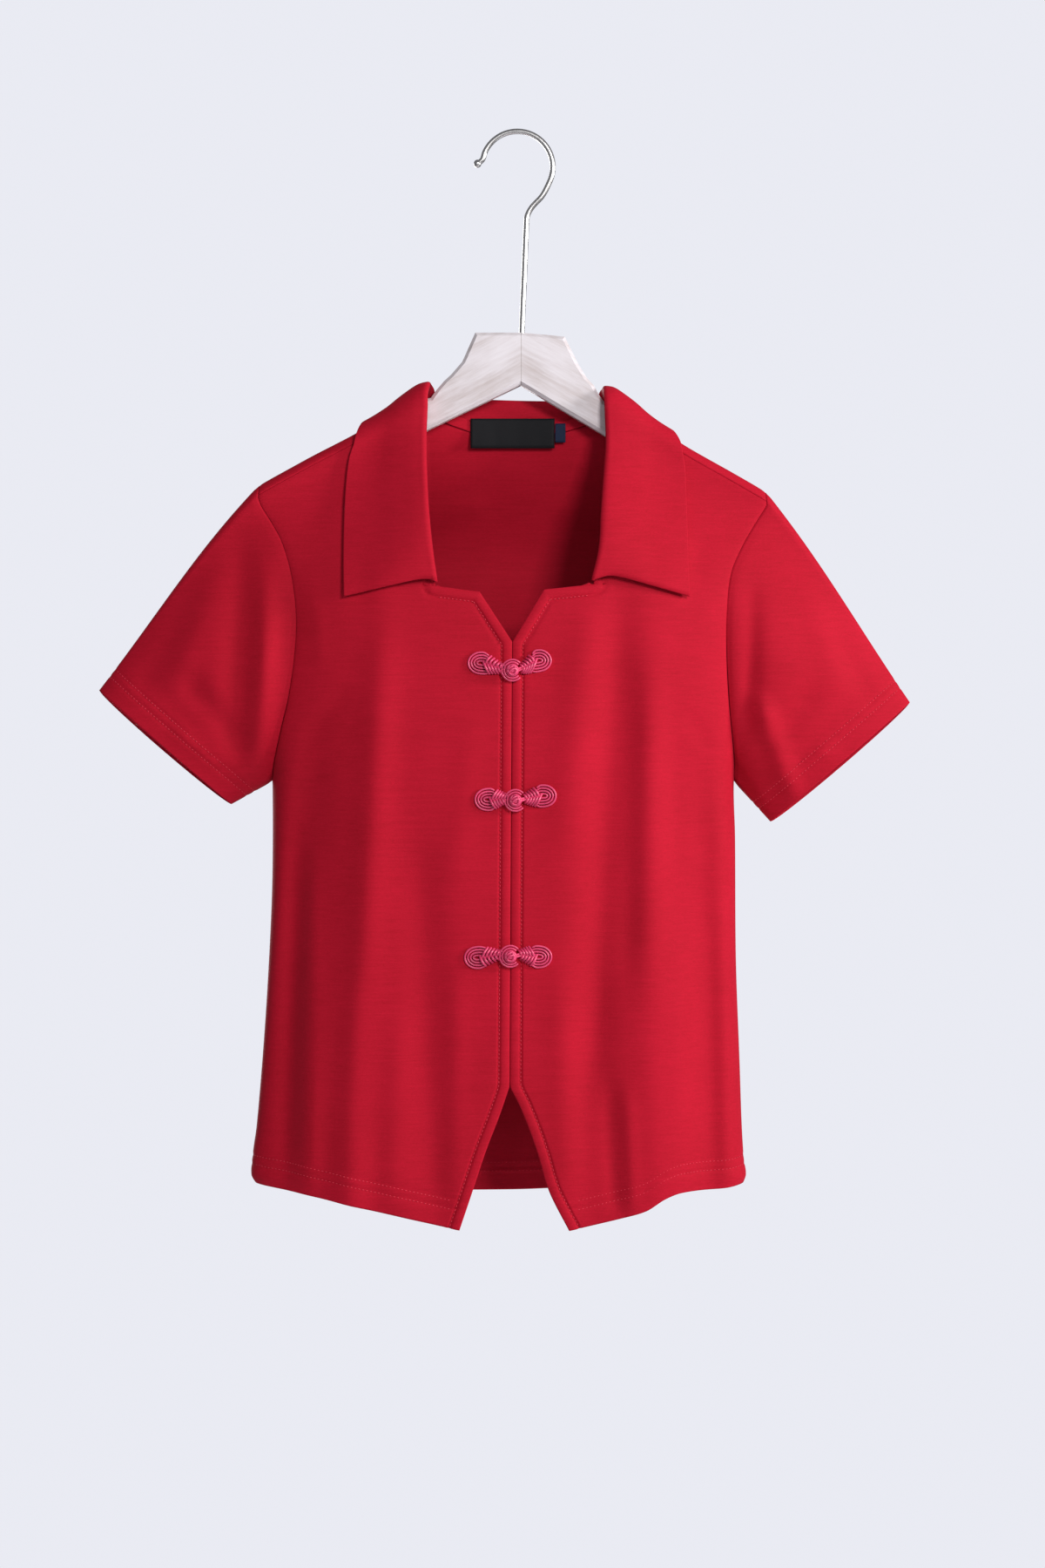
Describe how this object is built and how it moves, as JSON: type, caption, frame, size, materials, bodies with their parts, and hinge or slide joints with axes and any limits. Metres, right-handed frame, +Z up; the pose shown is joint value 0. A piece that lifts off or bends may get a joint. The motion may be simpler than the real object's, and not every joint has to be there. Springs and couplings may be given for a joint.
{
  "type": "qipao top on hanger",
  "caption": "Short-sleeved collared knit top with corded frog fasteners and a front vent, hung on a wooden hanger with a long wire hook.",
  "frame": {"origin": "inside of the hook's crown, where the rail carries the hanger", "axes": "+Z up, the garment's front towards -Y, +X to the viewer's right from the front"},
  "size_m": [0.5577, 0.1088, 0.7533],
  "materials": {
    "red_knit": "deep red double knit, smooth and matt with a soft bloom",
    "black_label": "black woven satin label, bare",
    "navy_tab": "navy woven tab, bare",
    "whitewashed_wood": "whitewashed wood with fine grain, satin",
    "satin_steel": "satin steel wire",
    "pink_satin_cord": "pink satin rat-tail cord"
  },
  "bodies": {
    "root": {"front_left": "red_knit", "front_right": "red_knit", "back": "red_knit", "sleeve_left": "red_knit", "sleeve_right": "red_knit", "collar": "red_knit", "neck_tape": "red_knit", "label": "black_label", "size_tab": "navy_tab", "hanger_board": "whitewashed_wood", "hanger_hook": "satin_steel", "frog_upper_left": "pink_satin_cord", "frog_upper_right": "pink_satin_cord", "frog_middle_left": "pink_satin_cord", "frog_middle_right": "pink_satin_cord", "frog_lower_left": "pink_satin_cord", "frog_lower_right": "pink_satin_cord"}
  },
  "joints": []
}
